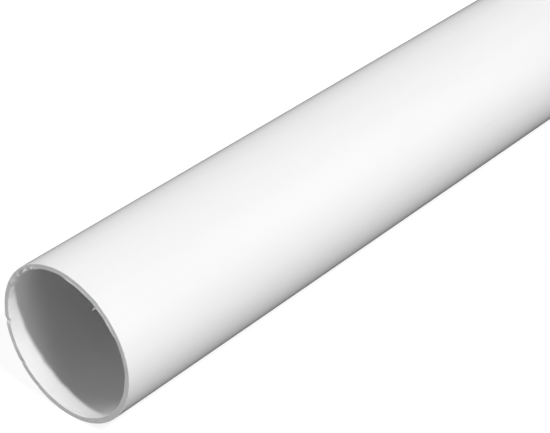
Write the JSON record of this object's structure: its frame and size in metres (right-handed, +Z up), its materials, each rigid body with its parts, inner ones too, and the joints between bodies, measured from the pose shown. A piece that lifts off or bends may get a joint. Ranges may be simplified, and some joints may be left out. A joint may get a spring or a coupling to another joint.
{
  "type": "pvc conduit pipe",
  "caption": "Straight length of rigid white PVC conduit pipe: a thin-walled round tube with plain square-sawn ends, for running cables.",
  "frame": {"origin": "on the floor, under the middle of the pipe's length", "axes": "+X along the pipe from the near end to the far end, +Y across it, +Z up"},
  "size_m": [2, 0.05, 0.0498],
  "materials": {
    "white_pvc": "smooth satin white, as extruded; sawn ends a little rougher"
  },
  "bodies": {
    "root": {"conduit_pipe": "white_pvc"}
  },
  "joints": []
}
